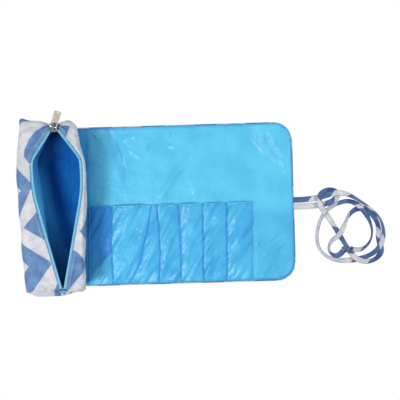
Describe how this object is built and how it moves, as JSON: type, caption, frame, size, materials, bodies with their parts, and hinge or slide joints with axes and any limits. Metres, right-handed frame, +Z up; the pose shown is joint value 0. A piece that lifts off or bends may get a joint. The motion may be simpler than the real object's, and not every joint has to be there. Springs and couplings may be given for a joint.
{
  "type": "brush roll case",
  "caption": "Roll-up brush case: zip pouch with an open leaf-shaped mouth, a quilted flap of sewn brush pockets that rolls over it, and ribbon ties.",
  "frame": {"origin": "on the underside of the pouch, on the pouch's long centre line, half-way up the flap", "axes": "+Z up from the surface that the open case lies on, +X from the pouch to the flap's free edge, +Y to the head end of the zip"},
  "size_m": [0.499, 0.2423, 0.0653],
  "materials": {
    "printed_cloth": "woven polyester printed with a blue and white chevron",
    "lining_nylon": "thin shiny sky-blue nylon",
    "wadding": "matt polyester felt",
    "zip_tape": "woven turquoise zip tape with moulded coil teeth",
    "zip_metal": "polished nickel plate",
    "tie_ribbon": "folded strip of the printed cloth"
  },
  "bodies": {
    "pouch": {"pouch_outer_left": "printed_cloth", "pouch_outer_right": "printed_cloth", "pouch_outer_base": "printed_cloth", "pouch_outer_head": "printed_cloth", "pouch_outer_tail": "printed_cloth", "pouch_lining_left": "lining_nylon", "pouch_lining_right": "lining_nylon", "pouch_lining_base": "lining_nylon", "pouch_lining_head": "lining_nylon", "pouch_lining_tail": "lining_nylon", "flap_seam_strip": "lining_nylon", "zip_head_bridge": "zip_tape", "zip_tail_bridge": "zip_tape"},
    "zip_slider": {"zip_slider": "zip_metal"},
    "zip_pull": {"zip_pull": "zip_metal"},
    "head_lip_left": {"zip_head_lip_left": "zip_tape"},
    "tail_lip_left": {"zip_tail_lip_left": "zip_tape"},
    "middle_lip_left": {"zip_middle_lip_left": "zip_tape"},
    "head_lip_right": {"zip_head_lip_right": "zip_tape"},
    "tail_lip_right": {"zip_tail_lip_right": "zip_tape"},
    "middle_lip_right": {"zip_middle_lip_right": "zip_tape"},
    "flap_strip_1": {"flap_outer_1": "printed_cloth", "flap_wadding_1": "wadding", "flap_lining_1": "lining_nylon", "brush_pocket_1": "lining_nylon"},
    "flap_strip_2": {"flap_outer_2": "printed_cloth", "flap_wadding_2": "wadding", "flap_lining_2": "lining_nylon", "brush_pocket_2": "lining_nylon"},
    "flap_strip_3": {"flap_outer_3": "printed_cloth", "flap_wadding_3": "wadding", "flap_lining_3": "lining_nylon", "brush_pocket_3": "lining_nylon"},
    "flap_strip_4": {"flap_outer_4": "printed_cloth", "flap_wadding_4": "wadding", "flap_lining_4": "lining_nylon", "brush_pocket_4": "lining_nylon"},
    "flap_strip_5": {"flap_outer_5": "printed_cloth", "flap_wadding_5": "wadding", "flap_lining_5": "lining_nylon", "brush_pocket_5": "lining_nylon"},
    "flap_strip_6": {"flap_outer_6": "printed_cloth", "flap_wadding_6": "wadding", "flap_lining_6": "lining_nylon", "brush_pocket_6": "lining_nylon"},
    "flap_strip_7": {"flap_outer_7": "printed_cloth", "flap_wadding_7": "wadding", "flap_lining_7": "lining_nylon", "brush_pocket_7": "lining_nylon"},
    "flap_strip_8": {"flap_outer_8": "printed_cloth", "flap_wadding_8": "wadding", "flap_lining_8": "lining_nylon"},
    "flap_strip_9": {"flap_outer_9": "printed_cloth", "flap_wadding_9": "wadding", "flap_lining_9": "lining_nylon", "tie_run_high": "tie_ribbon", "tie_run_low": "tie_ribbon", "tie_coil": "tie_ribbon"}
  },
  "joints": [
    {"name": "zip_slide", "type": "slide", "parent": "pouch", "child": "zip_slider", "axis": [0.0262, -0.9997, 0], "range_m": [0, 0.204]},
    {"name": "pull_hinge", "type": "hinge", "parent": "zip_slider", "child": "zip_pull", "pos_m": [0.0034, 0.10696, 0.0627], "axis": [0.9483, -0.3173, 0], "range_deg": [0, 180]},
    {"name": "head_lip_left_turn", "type": "hinge", "parent": "pouch", "child": "head_lip_left", "pos_m": [0.0034, 0.10696, 0.0584], "axis": [0, 0, 1], "range_deg": [0, 35]},
    {"name": "tail_lip_left_turn", "type": "hinge", "parent": "pouch", "child": "tail_lip_left", "pos_m": [0.00895, -0.10496, 0.0584], "axis": [0, 0, -1], "range_deg": [0, 13]},
    {"name": "middle_lip_left_slide", "type": "slide", "parent": "pouch", "child": "middle_lip_left", "axis": [0.9973, -0.0741, 0], "range_m": [0, 0.03035]},
    {"name": "head_lip_right_turn", "type": "hinge", "parent": "pouch", "child": "head_lip_right", "pos_m": [0.0034, 0.10696, 0.0584], "axis": [0, 0, -1], "range_deg": [0, 35]},
    {"name": "tail_lip_right_turn", "type": "hinge", "parent": "pouch", "child": "tail_lip_right", "pos_m": [0.00895, -0.10496, 0.0584], "axis": [0, 0, 1], "range_deg": [0, 13]},
    {"name": "middle_lip_right_slide", "type": "slide", "parent": "pouch", "child": "middle_lip_right", "axis": [-0.992, -0.1262, 0], "range_m": [0, 0.03035]},
    {"name": "flap_fold_1", "type": "hinge", "parent": "pouch", "child": "flap_strip_1", "pos_m": [0.039, 0, 0.0034], "axis": [0, -1, 0], "range_deg": [0, 51]},
    {"name": "flap_fold_2", "type": "hinge", "parent": "flap_strip_1", "child": "flap_strip_2", "pos_m": [0.071, 0, 0.0034], "axis": [0, -1, 0], "range_deg": [0, 48]},
    {"name": "flap_fold_3", "type": "hinge", "parent": "flap_strip_2", "child": "flap_strip_3", "pos_m": [0.103, 0, 0.0034], "axis": [0, -1, 0], "range_deg": [0, 34]},
    {"name": "flap_fold_4", "type": "hinge", "parent": "flap_strip_3", "child": "flap_strip_4", "pos_m": [0.135, 0, 0.0034], "axis": [0, -1, 0], "range_deg": [0, 25]},
    {"name": "flap_fold_5", "type": "hinge", "parent": "flap_strip_4", "child": "flap_strip_5", "pos_m": [0.167, 0, 0.0034], "axis": [0, -1, 0], "range_deg": [0, 36]},
    {"name": "flap_fold_6", "type": "hinge", "parent": "flap_strip_5", "child": "flap_strip_6", "pos_m": [0.199, 0, 0.0034], "axis": [0, -1, 0], "range_deg": [0, 27]},
    {"name": "flap_fold_7", "type": "hinge", "parent": "flap_strip_6", "child": "flap_strip_7", "pos_m": [0.231, 0, 0.0034], "axis": [0, -1, 0], "range_deg": [0, 37]},
    {"name": "flap_fold_8", "type": "hinge", "parent": "flap_strip_7", "child": "flap_strip_8", "pos_m": [0.263, 0, 0.0034], "axis": [0, -1, 0], "range_deg": [0, 36]},
    {"name": "flap_fold_9", "type": "hinge", "parent": "flap_strip_8", "child": "flap_strip_9", "pos_m": [0.29175, 0, 0.0034], "axis": [0, -1, 0], "range_deg": [0, 42]}
  ],
  "couplings": [
    {"joint": "head_lip_left_turn", "follows": "zip_slide", "rad_per_m": 2.9944},
    {"joint": "tail_lip_left_turn", "follows": "zip_slide", "rad_per_m": 1.1123},
    {"joint": "middle_lip_left_slide", "follows": "zip_slide", "ratio": 0.14879},
    {"joint": "head_lip_right_turn", "follows": "zip_slide", "rad_per_m": 2.9944},
    {"joint": "tail_lip_right_turn", "follows": "zip_slide", "rad_per_m": 1.1123},
    {"joint": "middle_lip_right_slide", "follows": "zip_slide", "ratio": 0.14879},
    {"joint": "flap_fold_2", "follows": "flap_fold_1", "ratio": 0.94118},
    {"joint": "flap_fold_3", "follows": "flap_fold_1", "ratio": 0.66667},
    {"joint": "flap_fold_4", "follows": "flap_fold_1", "ratio": 0.4902},
    {"joint": "flap_fold_5", "follows": "flap_fold_1", "ratio": 0.70588},
    {"joint": "flap_fold_6", "follows": "flap_fold_1", "ratio": 0.52941},
    {"joint": "flap_fold_7", "follows": "flap_fold_1", "ratio": 0.72549},
    {"joint": "flap_fold_8", "follows": "flap_fold_1", "ratio": 0.70588},
    {"joint": "flap_fold_9", "follows": "flap_fold_1", "ratio": 0.82353}
  ]
}
